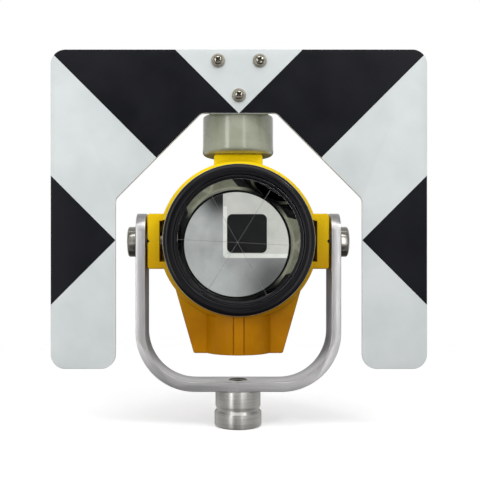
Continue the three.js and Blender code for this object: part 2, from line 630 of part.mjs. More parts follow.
// The plate's outline in (x, z): a bar across the top and a leg down each side, joined by 45 degree cuts.
function plateOutline() {
  const w = PLATE_HALF_WIDE;
  const r = PLATE_CORNER_R;
  const top = PLATE_TOP;
  const foot = PLATE_FOOT;
  const cutTop = CUTOUT_TOP;
  const cutSide = cutTop - (LEG_GAP_HALF_WIDE - CUTOUT_TOP_HALF_WIDE);
  const quarter = Math.PI / 2;
  const outline = new THREE.Shape();
  outline.moveTo(-w + r, top);
  outline.absarc(-w + r, top - r, r, quarter, 2 * quarter);
  outline.lineTo(-w, foot + r);
  outline.absarc(-w + r, foot + r, r, 2 * quarter, 3 * quarter);
  outline.lineTo(-LEG_GAP_HALF_WIDE - r, foot);
  outline.absarc(-LEG_GAP_HALF_WIDE - r, foot + r, r, -quarter, 0);
  outline.lineTo(-LEG_GAP_HALF_WIDE, cutSide);
  outline.lineTo(-CUTOUT_TOP_HALF_WIDE, cutTop);
  outline.lineTo(CUTOUT_TOP_HALF_WIDE, cutTop);
  outline.lineTo(LEG_GAP_HALF_WIDE, cutSide);
  outline.lineTo(LEG_GAP_HALF_WIDE, foot + r);
  outline.absarc(LEG_GAP_HALF_WIDE + r, foot + r, r, 2 * quarter, 3 * quarter);
  outline.lineTo(w - r, foot);
  outline.absarc(w - r, foot + r, r, -quarter, 0);
  outline.lineTo(w, top - r);
  outline.absarc(w - r, top - r, r, 0, quarter);
  return outline;
}

function targetPlate() {
  let plate = extruded(plateOutline(), 'y', PLATE_FRONT, PLATE_BACK, SMALL_TURN);
  for (const { x, z } of TARGET_SCREWS) {
    plate = plate.subtract(cylinder('y', TARGET_SCREW_R + RUNNING_GAP,
      PLATE_FRONT - GAP, PLATE_BACK + GAP, SMALL_TURN).translate(x, 0, z));
  }
  return plate;
}

const targetWasherFront = PLATE_FRONT - SEAT_GAP - TARGET_WASHER_THICK;

function targetWasher({ x, z }) {
  return ring('y', TARGET_SCREW_R + RUNNING_GAP, TARGET_WASHER_R,
    targetWasherFront, targetWasherFront + TARGET_WASHER_THICK, SMALL_TURN).translate(x, 0, z);
}

function targetScrew({ x, z }) {
  const seat = targetWasherFront - SEAT_GAP;
  const front = seat - TARGET_SCREW_HEAD_TALL;
  return turned([
    [0, front],
    [TARGET_SCREW_HEAD_R - TARGET_SCREW_HEAD_EDGE, front],
    [TARGET_SCREW_HEAD_R, front + TARGET_SCREW_HEAD_EDGE],
    [TARGET_SCREW_HEAD_R, seat],
    [TARGET_SCREW_R, seat],
    [TARGET_SCREW_R, seat + TARGET_SCREW_LONG],
    [0, seat + TARGET_SCREW_LONG],
  ], 'y', SMALL_TURN).translate(x, 0, z);
}

// ---- Assembly ----

place('yoke', yoke(), BRUSHED_ALUMINIUM);
place('pole_adapter', poleAdapter(), STAINLESS_STEEL);
place('adapter_screw', adapterScrew(), NICKEL);
place('prism_holder', prismHolder(), YELLOW);
for (const [name, side] of [['left', -1], ['right', 1]]) {
  place(`pivot_screw_${name}`, pivotScrew(side), NICKEL);
  place(`friction_washer_${name}`, frictionWasher(side), NYLON);
  place(`pivot_bush_${name}`, pivotBush(side), NICKEL);
}
place('canister_body', canisterBody(), BLACK_ANODISED);
place('front_ring', frontRing(), BLACK_ANODISED);
place('front_gasket', frontGasket(), RUBBER);
place('prism_glass', prismGlass(), GLASS);
place('rear_cushion', rearCushion(), FOAM);
place('cap_seal', capSeal(), RUBBER);
place('canister_cap', canisterCap(), BLACK_ANODISED);
place('target_spigot', targetSpigot(), NICKEL);
place('target_mount', targetMount(), GREY);
place('mount_set_screw', mountSetScrew(), NICKEL);
place('target_plate', targetPlate(), PLATE_PAINT);
for (const screw of TARGET_SCREWS) {
  place(`target_washer_${screw.name}`, targetWasher(screw), NICKEL);
  place(`target_screw_${screw.name}`, targetScrew(screw), NICKEL);
}

export default group;
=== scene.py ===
import json
import math

import bmesh
import bpy
from mathutils import Matrix, Vector


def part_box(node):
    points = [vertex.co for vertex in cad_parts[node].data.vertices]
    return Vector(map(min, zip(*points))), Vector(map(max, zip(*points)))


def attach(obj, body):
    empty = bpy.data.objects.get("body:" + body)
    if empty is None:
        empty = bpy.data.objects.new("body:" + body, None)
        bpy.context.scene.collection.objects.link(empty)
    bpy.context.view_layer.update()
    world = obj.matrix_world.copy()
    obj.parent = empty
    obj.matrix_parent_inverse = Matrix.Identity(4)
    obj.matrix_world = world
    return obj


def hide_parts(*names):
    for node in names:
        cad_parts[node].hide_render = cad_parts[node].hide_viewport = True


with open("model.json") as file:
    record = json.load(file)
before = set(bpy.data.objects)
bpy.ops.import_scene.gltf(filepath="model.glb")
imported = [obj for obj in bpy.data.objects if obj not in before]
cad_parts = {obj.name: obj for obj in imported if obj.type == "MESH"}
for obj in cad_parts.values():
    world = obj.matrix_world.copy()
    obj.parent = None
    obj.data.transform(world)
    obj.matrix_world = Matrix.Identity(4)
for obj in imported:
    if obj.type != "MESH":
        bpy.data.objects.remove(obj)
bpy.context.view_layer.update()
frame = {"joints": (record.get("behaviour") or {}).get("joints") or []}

MM = 0.001
AXES = {"x": Vector((1, 0, 0)), "y": Vector((0, 1, 0)), "z": Vector((0, 0, 1))}
OUTWARD = {"x": AXES["z"], "y": AXES["x"], "z": AXES["x"]}
ACROSS = {
    "x": (AXES["y"], AXES["z"]),
    "y": (AXES["x"], AXES["z"]),
    "z": (AXES["x"], AXES["y"]),
}
FINE_TURN = 160
SMALL_TURN = 64


def spans(node):
    """A CAD node's (low, high) along x, y and z, in millimetres."""
    low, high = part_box(node)
    return [(low[i] / MM, high[i] / MM) for i in range(3)]


joint_places = {j["name"]: j.get("pos_m") for j in frame["joints"]}
PIVOT_Z = joint_places["holder_tilt"][2] / MM
PIVOT = Vector((0, 0, PIVOT_Z))


# ---- Shaping ----


def rounding_steps(radius):
    return max(2, min(24, round(radius * 2)))


def drawn_face(bm, corners, u_axis, v_axis, origin):
    """A face through (u, v) corners in millimetres; a third number rounds its corner over that length."""
    verts = [bm.verts.new((origin + u_axis * c[0] + v_axis * c[1]) * MM) for c in corners]
    bm.faces.new(verts)
    for vert, corner in zip(verts, corners):
        if len(corner) > 2:
            bmesh.ops.bevel(bm, geom=[vert], offset=corner[2] * MM, offset_type="OFFSET",
                            segments=rounding_steps(corner[2]), profile=0.5, affect="VERTICES", material=-1)


def closed_up(bm):
    bmesh.ops.remove_doubles(bm, verts=bm.verts[:], dist=2e-6)
    bmesh.ops.recalc_face_normals(bm, faces=bm.faces[:])


def made(bm):
    mesh = bpy.data.meshes.new("shape")
    bm.to_mesh(mesh)
    bm.free()
    part = bpy.data.objects.new("shape", mesh)
    bpy.context.scene.collection.objects.link(part)
    return part


def turned(corners, axis, turn=FINE_TURN, centre=(0, 0, 0)):
    """A lathe shape from (radius, place along the axis) corners, closed or with both ends on the axis."""
    bm = bmesh.new()
    middle = Vector(centre)
    out = OUTWARD[axis]
    drawn_face(bm, corners, out, AXES[axis], middle)
    bmesh.ops.delete(bm, geom=bm.faces[:], context="FACES_ONLY")
    on_axis = [e for e in bm.edges if all(abs((v.co - middle * MM).dot(out)) < 1e-7 for v in e.verts)]
    bmesh.ops.delete(bm, geom=on_axis, context="EDGES_FACES")
    bmesh.ops.spin(bm, geom=bm.verts[:] + bm.edges[:], cent=middle * MM, axis=AXES[axis], dvec=(0, 0, 0),
                   angle=2 * math.pi, steps=turn, use_merge=True, use_duplicate=False)
    closed_up(bm)
    return made(bm)


def rod(axis, radius, low, high, centre=(0, 0, 0), turn=SMALL_TURN):
    return turned([(0, low), (radius, low), (radius, high), (0, high)], axis, turn, centre)


def slab(corners, axis, low, high, edge=0.0, origin=(0, 0, 0)):
    """An outline drawn across an axis and filled from low to high along it, its rims rounded by edge."""
    bm = bmesh.new()
    along = AXES[axis]
    drawn_face(bm, corners, *ACROSS[axis], Vector(origin) + along * low)
    grown = bmesh.ops.extrude_face_region(bm, geom=bm.faces[:])["geom"]
    bmesh.ops.translate(bm, vec=along * (high - low) * MM,
                        verts=[g for g in grown if isinstance(g, bmesh.types.BMVert)])
    closed_up(bm)
    if edge:
        rims = [e for e in bm.edges if abs((e.verts[0].co - e.verts[1].co).dot(along)) < 1e-7]
        bmesh.ops.bevel(bm, geom=rims, offset=edge * MM, offset_type="OFFSET", segments=3,
                        profile=0.5, affect="EDGES", clamp_overlap=True, material=-1)
    return made(bm)


def block(x, y, z, axis="y", corner=0.0, origin=(0, 0, 0)):
    """A block between three (low, high) pairs, its four edges along the axis rounded by corner."""
    spans_by_axis = {"x": x, "y": y, "z": z}
    u, v = [spans_by_axis[name] for name in "xyz" if name != axis]
    tail = (corner,) if corner else ()
    corners = [(u[0], v[0], *tail), (u[1], v[0], *tail), (u[1], v[1], *tail), (u[0], v[1], *tail)]
    return slab(corners, axis, *spans_by_axis[axis], origin=origin)


def combined(part, tool, operation):
    """part with tool joined to it, cut from it, or kept only where they overlap; tool is used up."""
    change = part.modifiers.new("combined", "BOOLEAN")
    change.operation = operation
    change.solver = "EXACT"
    change.object = tool
    bpy.context.view_layer.update()
    result = bpy.data.meshes.new_from_object(part.evaluated_get(bpy.context.evaluated_depsgraph_get()))
    part.modifiers.clear()
    used = [part.data, tool.data]
    part.data = result
    bpy.data.objects.remove(tool)
    for mesh in used:
        bpy.data.meshes.remove(mesh)
    return part


def cut(part, *tools):
    for tool in tools:
        combined(part, tool, "DIFFERENCE")
    return part


def joined(part, *tools):
    for tool in tools:
        combined(part, tool, "UNION")
    return part


def softened(part, width, sharper_than=40, steps=2, only=None):
    """part with its sharp edges rounded by width millimetres; only() may pick among them."""
    bm = bmesh.new()
    bm.from_mesh(part.data)
    limit = math.radians(sharper_than)
    bmesh.ops.remove_doubles(bm, verts=bm.verts[:], dist=2e-6)
    edges = [e for e in bm.edges if len(e.link_faces) == 2 and e.calc_face_angle(0) > limit]
    edges = [e for e in edges if only is None or only(e)]
    bmesh.ops.bevel(bm, geom=edges, offset=width * MM, offset_type="OFFSET", segments=steps,
                    profile=0.5, affect="EDGES", clamp_overlap=True, material=-1)
    bm.to_mesh(part.data)
    bm.free()
    return part


def spun_round(part, axis, degrees, centre):
    """part turned about an axis through centre, in its mesh."""
    middle = Matrix.Translation(Vector(centre) * MM)
    turn = Matrix.Rotation(math.radians(degrees), 4, AXES[axis])
    part.data.transform(middle @ turn @ middle.inverted())
    return part


def faced(part, side):
    """part, made for the right-hand side, on the side given by -1 (left) or 1 (right)."""
    return spun_round(part, "z", 180, (0, 0, 0)) if side < 0 else part


def shown(part, name, node, body, finishes, crease=34):
    """part as a finished piece that stands for its CAD node and rides on its body."""
    part.name = name
    bm = bmesh.new()
    bm.from_mesh(part.data)
    for face in bm.faces:
        face.smooth = True
    for edge in bm.edges:
        edge.smooth = len(edge.link_faces) == 2 and edge.calc_face_angle(0) < math.radians(crease)
    bm.to_mesh(part.data)
    bm.free()
    for finish in finishes:
        part.data.materials.append(finish)
    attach(part, body)
    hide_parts(node)
    return part


# ---- Finishes ----


class Finish:
    """A material under construction: its Principled shader and the nodes that feed it."""

    def __init__(self, name, color, roughness, **constants):
        self.material = bpy.data.materials.new(name)
        self.material.use_nodes = True
        self.tree = self.material.node_tree
        self.shader = self.tree.nodes["Principled BSDF"]
        self.shader.inputs["Base Color"].default_value = (*color, 1)
        self.shader.inputs["Roughness"].default_value = roughness
        for socket, value in constants.items():
            self.shader.inputs[socket.replace("_", " ")].default_value = value
        self.place = self.node("ShaderNodeTexCoord").outputs["Object"]

    def node(self, kind, inputs=None, **settings):
        made_node = self.tree.nodes.new(kind)
        for name, value in settings.items():
            setattr(made_node, name, value)
        for name, value in (inputs or {}).items():
            if isinstance(value, bpy.types.NodeSocket):
                self.tree.links.new(value, made_node.inputs[name])
            else:
                made_node.inputs[name].default_value = value
        return made_node

    def feed(self, socket, output):
        self.tree.links.new(output, self.shader.inputs[socket])

    def sum(self, operation, a, b=0.0):
        return self.node("ShaderNodeMath", {0: a, 1: b}, operation=operation).outputs[0]

    def parts(self, vector=None):
        return self.node("ShaderNodeSeparateXYZ", {0: vector or self.place}).outputs

    def vector(self, x, y, z):
        return self.node("ShaderNodeCombineXYZ", {0: x, 1: y, 2: z}).outputs[0]

    def noise(self, scale, detail=2.0, vector=None, rough=0.5):
        return self.node("ShaderNodeTexNoise", {
            "Vector": vector or self.place, "Scale": scale, "Detail": detail, "Roughness": rough,
        }).outputs["Fac"]

    def between(self, value, low, high, start=0.35, end=0.65):
        return self.node("ShaderNodeMapRange", {
            "Value": value, "From Min": start, "From Max": end, "To Min": low, "To Max": high,
        }).outputs[0]

    def mixed(self, share, first, second):
        blend = self.node("ShaderNodeMix", data_type="RGBA")
        for index, value in ((0, share), (6, first), (7, second)):
            if isinstance(value, bpy.types.NodeSocket):
                self.tree.links.new(value, blend.inputs[index])
            else:
                blend.inputs[index].default_value = (*value, 1)
        return blend.outputs[2]

    def tint(self, value, first, second, start=0.35, end=0.65):
        return self.mixed(self.between(value, 0.0, 1.0, start, end), first, second)

    def bump(self, *layers):
        """Layers of (height, distance in millimetres), one over the other."""
        normal = None
        for height, distance in layers:
            inputs = {"Height": height, "Strength": 1.0, "Distance": distance * MM}
            if normal:
                inputs["Normal"] = normal
            normal = self.node("ShaderNodeBump", inputs).outputs[0]
        self.feed("Normal", normal)

    def lathe_marks(self, axis, centre=(0, 0, 0)):
        """Coordinates that change across a turned piece's tool marks and hardly along them."""
        local = self.node("ShaderNodeMapping", {
            0: self.place, "Location": [-c * MM for c in centre],
        }).outputs[0]
        x, y, z = self.parts(local)
        along = {"x": x, "y": y, "z": z}.pop(axis)
        across = [s for name, s in (("x", x), ("y", y), ("z", z)) if name != axis]
        squares = [self.sum("MULTIPLY", s, s) for s in across]
        radius = self.sum("SQRT", self.sum("ADD", *squares))
        return self.vector(radius, along, self.sum("MULTIPLY", across[0], 0.02))


def brushed_aluminium():
    """Streaks that run along the yoke's bar and round its two bends."""
    (_, x1), _, (z0, _) = spans("yoke")
    finish = Finish("brushed aluminium", (0.58, 0.57, 0.575), 0.36, Metallic=1.0)
    x, y, z = finish.parts()
    bend_x = (x1 - YOKE_BEND) * MM
    bend_z = (z0 + YOKE_BEND) * MM
    past_x = finish.sum("SUBTRACT", finish.sum("ABSOLUTE", x), bend_x)
    past_z = finish.sum("SUBTRACT", bend_z, z)
    corner_x = finish.sum("MAXIMUM", past_x)
    corner_z = finish.sum("MAXIMUM", past_z)
    squares = [finish.sum("MULTIPLY", s, s) for s in (corner_x, corner_z)]
    inside = finish.sum("MINIMUM", finish.sum("MAXIMUM", past_x, past_z))
    across = finish.sum("ADD", finish.sum("SQRT", finish.sum("ADD", *squares)), inside)
    along = finish.sum("SUBTRACT", x, finish.sum("MULTIPLY", z, finish.sum("SIGN", x)))
    streaks = finish.vector(across, y, finish.sum("MULTIPLY", along, 0.025))
    coarse = finish.noise(1400, 3, streaks, 0.6)
    fine = finish.noise(5200, 2, streaks, 0.6)
    cloudy = finish.noise(70, 3)
    finish.feed("Base Color", finish.mixed(
        finish.between(coarse, 0.0, 1.0), (0.53, 0.52, 0.525), (0.63, 0.62, 0.625)))
    finish.feed("Roughness", finish.sum(
        "ADD", finish.between(fine, 0.30, 0.40), finish.between(cloudy, -0.02, 0.03)))
    finish.bump((coarse, 0.006), (fine, 0.003))
    return finish.material


def turned_metal(name, dark, light, rough, axis, centre=(0, 0, 0), **drawn_out):
    """Bright lathe-turned metal with fine tool marks round its axis."""
    finish = Finish(name, light, rough, Metallic=1.0, **drawn_out)
    marks = finish.lathe_marks(axis, centre)
    rings = finish.noise(2600, 3, marks, 0.6)
    handled = finish.noise(160, 2)
    finish.feed("Base Color", finish.tint(rings, dark, light))
    finish.feed("Roughness", finish.sum(
        "ADD", finish.between(rings, rough - 0.05, rough + 0.06), finish.between(handled, -0.03, 0.04)))
    finish.bump((rings, 0.002))
    if drawn_out:
        round_axis = finish.node("ShaderNodeTangent", direction_type="RADIAL", axis=axis.upper())
        finish.feed("Tangent", round_axis.outputs[0])
    return finish.material


def nickel_plate():
    """Warm bright plating, a little clouded."""
    finish = Finish("nickel plate", (0.62, 0.58, 0.50), 0.2, Metallic=1.0)
    cloudy = finish.noise(420, 3)
    fine = finish.noise(3800, 2)
    finish.feed("Base Color", finish.tint(cloudy, (0.44, 0.405, 0.33), (0.60, 0.565, 0.48)))
    finish.feed("Roughness", finish.between(cloudy, 0.14, 0.26))
    finish.bump((fine, 0.004))
    return finish.material


def dull_nickel():
    """The washers' duller plating."""
    finish = Finish("dull nickel", (0.36, 0.34, 0.28), 0.42, Metallic=1.0)
    cloudy = finish.noise(700, 3)
    finish.feed("Base Color", finish.tint(cloudy, (0.22, 0.21, 0.17), (0.33, 0.315, 0.26)))
    finish.feed("Roughness", finish.between(cloudy, 0.34, 0.50))
    finish.bump((finish.noise(3000, 2), 0.004))
    return finish.material


def painted_recess_shade():
    """Painted shade in the screws' cross recesses: a dark mottled colour where shade falls."""
    finish = Finish("painted recess shade", (0.05, 0.045, 0.03), 0.45)
    recess_shade_mottle = finish.noise(1500, 2)
    finish.feed("Base Color", finish.tint(recess_shade_mottle, (0.03, 0.027, 0.018), (0.09, 0.08, 0.055)))
    return finish.material


def yellow_plastic():
    """Glass-filled moulding with painted light and shade: a shaded deeper orange low down, a lit paler yellow
    high up, a fine moulded grain and soft gloss.
    """
    _, _, (z0, z1) = spans("prism_holder")
    finish = Finish("yellow moulding", (0.64, 0.33, 0.0), 0.36, Specular_IOR_Level=0.07)
    _, _, z = finish.parts()
    # painted light and shade: the share of the lit yellow rises with height
    height = finish.between(z, 0.0, 1.0, (z0 + 18) * MM, (z1 - 6) * MM)
    uneven = finish.noise(90, 4)
    grain = finish.noise(2600, 2)
    coarse_grain = finish.noise(700, 2)
    # deep is the painted-shade orange, bright the painted-light yellow
    deep = finish.tint(uneven, (0.38, 0.145, 0.0), (0.43, 0.17, 0.0))
    bright = finish.tint(uneven, (0.92, 0.66, 0.003), (0.95, 0.69, 0.004))
    finish.feed("Base Color", finish.mixed(height, deep, bright))
    finish.feed("Roughness", finish.sum(
        "ADD", finish.between(grain, 0.30, 0.40), finish.between(uneven, -0.03, 0.05)))
    finish.bump((coarse_grain, 0.012), (grain, 0.008))
    return finish.material


RING_TEETH = 200
RING_LIP_R = 32.8
RING_LIP_HALF_WIDE = 0.24


def black_anodised():
    """Satin black with turning marks, a painted highlight as a pale band round the flange's rim, and rubbed
    bright on the retaining ring's serrations.
    """
    (_, flange), (front, _), _ = spans("canister_body")
    finish = Finish("black anodised", (0.006, 0.006, 0.007), 0.2, Specular_IOR_Level=0.22)
    marks = finish.lathe_marks("y", PIVOT)
    rings = finish.noise(1900, 3, marks, 0.6)
    handled = finish.noise(120, 3)
    radius = finish.parts(marks)[0]
    # painted highlight: a pale band round the flange's rim, in place of the light its rounded edge catches
    wear_and_highlight = finish.sum("MULTIPLY", finish.between(radius, 0.0, 1.0, (flange - 0.4) * MM, (flange - 0.15) * MM),
                      finish.sum("LESS_THAN", finish.parts()[1], (front + 2.3) * MM))
    x, _, z = finish.parts()
    around = finish.sum("ARCTAN2", finish.sum("SUBTRACT", z, PIVOT_Z * MM), x)
    teeth = finish.sum("GREATER_THAN", finish.sum("SINE", finish.sum("MULTIPLY", around, RING_TEETH)), -0.1)
    from_lip = finish.sum("ABSOLUTE", finish.sum("SUBTRACT", radius, RING_LIP_R * MM))
    edge = finish.sum("LESS_THAN", from_lip, RING_LIP_HALF_WIDE * MM)
    lip = finish.sum("MULTIPLY", finish.sum("MULTIPLY", edge, teeth),
                     finish.between(finish.noise(28, 3), 0.0, 1.0, 0.42, 0.54))
    black = finish.tint(rings, (0.003, 0.003, 0.004), (0.007, 0.007, 0.009))
    black = finish.mixed(lip, black, (0.22, 0.22, 0.23))
    finish.feed("Base Color", finish.mixed(wear_and_highlight, black, (0.55, 0.52, 0.40)))
    finish.feed("Metallic", lip)
    finish.feed("Roughness", finish.sum(
        "ADD", finish.between(rings, 0.14, 0.22), finish.between(handled, -0.02, 0.05)))
    finish.bump((rings, 0.006))
    return finish.material


def rubber():
    finish = Finish("black rubber", (0.02, 0.02, 0.02), 0.75)
    bloom = finish.noise(300, 3)
    finish.feed("Base Color", finish.tint(bloom, (0.016, 0.016, 0.016), (0.035, 0.034, 0.033)))
    finish.feed("Roughness", finish.between(bloom, 0.65, 0.85))
    finish.bump((finish.noise(3000, 2), 0.01))
    return finish.material


def foam():
    finish = Finish("grey foam", (0.05, 0.05, 0.055), 0.95)
    cells = finish.node("ShaderNodeTexVoronoi", {"Vector": finish.place, "Scale": 1400}).outputs["Distance"]
    finish.feed("Base Color", finish.tint(cells, (0.02, 0.02, 0.022), (0.09, 0.09, 0.095), 0.1, 0.6))
    finish.bump((cells, 0.12))
    return finish.material


def polished_glass():
    """The prism's front face, which lets light in and out."""
    finish = Finish("polished glass", (0.965, 0.985, 0.975), 0.0, Transmission_Weight=1.0, IOR=1.517,
                    Specular_Tint=(0.1, 0.1, 0.1, 1))
    dust = finish.noise(260, 4)
    finish.feed("Base Color", finish.tint(dust, (0.965, 0.98, 0.97), (0.99, 1.0, 0.995)))
    return finish.material


def silvered_glass():
    """The three back faces, silvered behind."""
    finish = Finish("silvered glass", (0.93, 0.94, 0.935), 0.0, Metallic=1.0)
    haze = finish.noise(60, 4)
    finish.feed("Base Color", finish.tint(haze, (0.88, 0.895, 0.89), (0.95, 0.955, 0.95)))
    return finish.material


def ground_glass():
    """The prism's ground side wall: black at the front and, as painted shade, towards the upper right; bare
    along the scalloped edge of the back faces; a painted glow on the bare wall, brighter along that edge.
    """
    _, (front, apex), _ = spans("prism_glass")
    finish = Finish("ground glass", (0.20, 0.20, 0.14), 0.7)
    x, y, z = finish.parts()
    side, deep, rise = [finish.sum("DIVIDE", s, MM) for s in (x, y, finish.sum("SUBTRACT", z, PIVOT_Z * MM))]
    depth = finish.sum("SUBTRACT", deep, front)
    to_apex = finish.sum("SUBTRACT", apex, deep)
    room = None
    for angle in EDGE_ANGLES:
        turn = math.radians(angle)
        along = finish.sum("ADD", finish.sum("MULTIPLY", side, math.sqrt(2) * math.cos(turn)),
                           finish.sum("MULTIPLY", rise, math.sqrt(2) * math.sin(turn)))
        here = finish.sum("ADD", to_apex, along)
        room = finish.sum("MINIMUM", room, here) if room else here
    wall_deep = finish.sum("ADD", depth, room)
    upper_right = finish.sum("ADD", side, rise)
    strip = finish.sum("MULTIPLY", finish.sum("LESS_THAN", room, BARE_STRIP),
                       finish.between(wall_deep, 0.0, 1.0, 2.0, 7.0))
    # painted shade: the bare strip and the deeper wall turn black towards the upper right
    strip = finish.sum("MULTIPLY", strip, finish.between(upper_right, 1.0, 0.0, 4.0, 14.0))
    deeper = finish.sum("MULTIPLY", finish.sum("GREATER_THAN", depth, BLACK_WALL),
                        finish.between(upper_right, 1.0, 0.0, 4.0, 14.0))
    frost = finish.noise(900, 3)
    cloudy = finish.noise(60, 2)
    bare = finish.tint(frost, (0.20, 0.20, 0.14), (0.28, 0.28, 0.20))
    # painted glow: the bare wall emits light of its own, more along the edge strip
    glow = finish.tint(cloudy, (0.07, 0.07, 0.052), (0.125, 0.125, 0.092))
    open_wall = finish.sum("MAXIMUM", strip, deeper)
    finish.feed("Base Color", finish.mixed(open_wall, (0.01, 0.01, 0.01), bare))
    glow = finish.mixed(strip, glow, (0.19, 0.185, 0.145))
    finish.feed("Emission Color", finish.mixed(open_wall, (0.001, 0.001, 0.001), glow))
    finish.shader.inputs["Emission Strength"].default_value = 1.0
    finish.bump((frost, 0.02))
    return finish.material


def bevelled_edges():
    """The fine flats along the prism's three back edges, dark with a painted glow."""
    finish = Finish("bevelled edges", (0.08, 0.08, 0.08), 0.6)
    frost = finish.noise(900, 3)
    finish.feed("Base Color", finish.tint(frost, (0.07, 0.07, 0.07), (0.10, 0.10, 0.10)))
    # painted glow: the edge flats emit a faint grey light
    finish.shader.inputs["Emission Color"].default_value = (0.13, 0.13, 0.13, 1)
    finish.shader.inputs["Emission Strength"].default_value = 1.0
    return finish.material


def grey_gloss():
    """Stove-enamelled olive grey with a slight orange peel."""
    finish = Finish("grey enamel", (0.36, 0.375, 0.28), 0.25, Coat_Weight=0.6, Coat_Roughness=0.07)
    uneven = finish.noise(80, 3)
    peel = finish.noise(520, 2)
    finish.feed("Base Color", finish.tint(uneven, (0.275, 0.287, 0.21), (0.325, 0.338, 0.255)))
    finish.feed("Roughness", finish.between(uneven, 0.22, 0.32))
    finish.bump((peel, 0.012))
    return finish.material


def painted_target():
    """White paint with the aiming pattern: triangles whose points meet the prism's two axes."""
    finish = Finish("target paint", (0.70, 0.73, 0.74), 0.42, Specular_IOR_Level=0.1)
    x, _, z = finish.parts()
    side = finish.sum("MULTIPLY", finish.sum("ABSOLUTE", x), 1 / MM)
    above = finish.sum("MULTIPLY", finish.sum("SUBTRACT", z, PIVOT_Z * MM), 1 / MM)
    diagonal = finish.sum("SUBTRACT", above, side)
    upper = finish.sum("MULTIPLY", finish.sum("GREATER_THAN", diagonal, 0.0),
                       finish.sum("LESS_THAN", diagonal, PATTERN_RISE))
    wing = finish.sum("LESS_THAN", finish.sum("ABSOLUTE", above), finish.sum("SUBTRACT", side, PATTERN_REACH))
    black = finish.sum("MAXIMUM", upper, wing)
    smudge = finish.noise(45, 4)
    white_paint = finish.tint(smudge, (0.545, 0.58, 0.58), (0.60, 0.63, 0.63))
    black_paint = finish.tint(smudge, (0.004, 0.0045, 0.0065), (0.008, 0.0085, 0.0115))
    finish.feed("Base Color", finish.mixed(black, white_paint, black_paint))
    finish.feed("Roughness", finish.sum(
        "ADD", finish.between(smudge, 0.34, 0.46), finish.between(black, 0.0, 0.05, 0.0, 1.0)))
    finish.bump((finish.noise(600, 2), 0.008), (black, 0.02))
    return finish.material


def white_paint():
    """The plate's edges and back."""
    finish = Finish("white paint", (0.70, 0.72, 0.72), 0.42)
    smudge = finish.noise(45, 4)
    finish.feed("Base Color", finish.tint(smudge, (0.64, 0.665, 0.67), (0.72, 0.735, 0.74)))
    finish.feed("Roughness", finish.between(smudge, 0.34, 0.48))
    finish.bump((finish.noise(600, 2), 0.008))
    return finish.material


def dark_nylon():
    finish = Finish("dark nylon", (0.03, 0.027, 0.024), 0.55)
    wear_and_highlight = finish.noise(500, 3)
    finish.feed("Base Color", finish.tint(wear_and_highlight, (0.022, 0.02, 0.018), (0.045, 0.04, 0.036)))
    finish.feed("Roughness", finish.between(wear_and_highlight, 0.45, 0.65))
    return finish.material


# ---- Yoke and pole adapter ----

YOKE_BEND = 31
BAR_THICK = 5
PATTERN_RISE = 64
PATTERN_REACH = 62.2


def yoke():
    (x0, x1), (y0, y1), (z0, z1) = spans("yoke")
    inner = x1 - BAR_THICK
    bend_in = YOKE_BEND - BAR_THICK
    bar = slab([
        (x0, z1), (x0, z0, YOKE_BEND), (x1, z0, YOKE_BEND), (x1, z1),
        (inner, z1), (inner, z0 + BAR_THICK, bend_in), (-inner, z0 + BAR_THICK, bend_in), (-inner, z1),
    ], "y", y0, y1)
    tops = slab([(y0, z0 - 5), (y1, z0 - 5), (y1, z1, y1 - 0.01), (y0, z1, y1 - 0.01)], "x", x0 - 1, x1 + 1)
    combined(bar, tops, "INTERSECT")
    softened(bar, 0.55, 42, 3)
    cut(bar, rod("x", 4.2, x0 - 1, x1 + 1, PIVOT))
    bar_top = z0 + BAR_THICK
    cut(bar, turned([(0, z0 - 1), (2.7, z0 - 1), (2.7, bar_top - 3.3), (5.05, bar_top - 3.3),
                     (5.05, bar_top - 0.4), (5.45, bar_top), (5.45, bar_top + 1), (0, bar_top + 1)], "z", 72))
    return bar


POLE_THREAD_PITCH = 2.309


def pole_adapter():
    _, (_, foot), (_, z1) = spans("pole_adapter")
    thread = []
    pitch = POLE_THREAD_PITCH
    for k in range(5):
        low = 0.9 + k * pitch
        thread += [(7.85, low + pitch / 2), (6.8, low + pitch - 0.25), (6.8, low + pitch)]
    outline = [
        (2.7, z1), (2.7, 13), (6.8, 12.9), *reversed(thread), (6.8, 0.9), (7.7, 0),
        (foot, 0, 1.2), (foot, 7.7, 0.25), (11.2, 9.1, 0.5), (12, 10.9, 0.3), (12, z1, 0.5),
    ]
    return turned(outline, "z", 128)


def adapter_screw():
    _, _, (z0, z1) = spans("adapter_screw")
    seat = z1 - 2.6
    body = turned([(0, z0), (2.1, z0), (2.5, z0 + 0.4), (2.5, seat), (4.85, seat), (4.85, z1, 0.5), (0, z1)],
                  "z", 72)
    socket = rod("z", 2.7, z1 - 1.6, z1 + 1, turn=6)
    return cut(body, socket)


# ---- Pivots ----


def pivot_screw(side):
    x1 = spans("pivot_screw_right")[0][1]
    x0 = spans("pivot_screw_right")[0][0]
    head = x1 - 4.7
    body = turned([
        (0, x0), (2.6, x0), (3, x0 + 0.4), (3, head - 5.1), (4, head - 5.1), (4, head),
        (7.6, head), (8, head + 0.4), (8, x1 - 0.6, 0.15), (7.4, x1, 0.15), (0, x1),
    ], "x", 128, PIVOT)
    return faced(cut(body, rod("x", 2.9, x1 - 2.6, x1 + 1, PIVOT, 6)), side)


def friction_washer(side):
    (x0, x1), _, _ = spans("friction_washer_right")
    return faced(turned([(3.2, x0), (8, x0, 0.15), (8, x1, 0.15), (3.2, x1)], "x", 96, PIVOT), side)


def pivot_bush(side):
    (x0, x1), _, _ = spans("pivot_bush_right")
    flange = x0 + 4.4
    return faced(turned([
        (3.2, x0 + 0.4), (3.6, x0), (5.2, x0, 0.6), (5.2, flange), (4.6, flange), (4.6, x1), (3.2, x1),
    ], "x", 96, PIVOT), side)


# ---- Holder ----


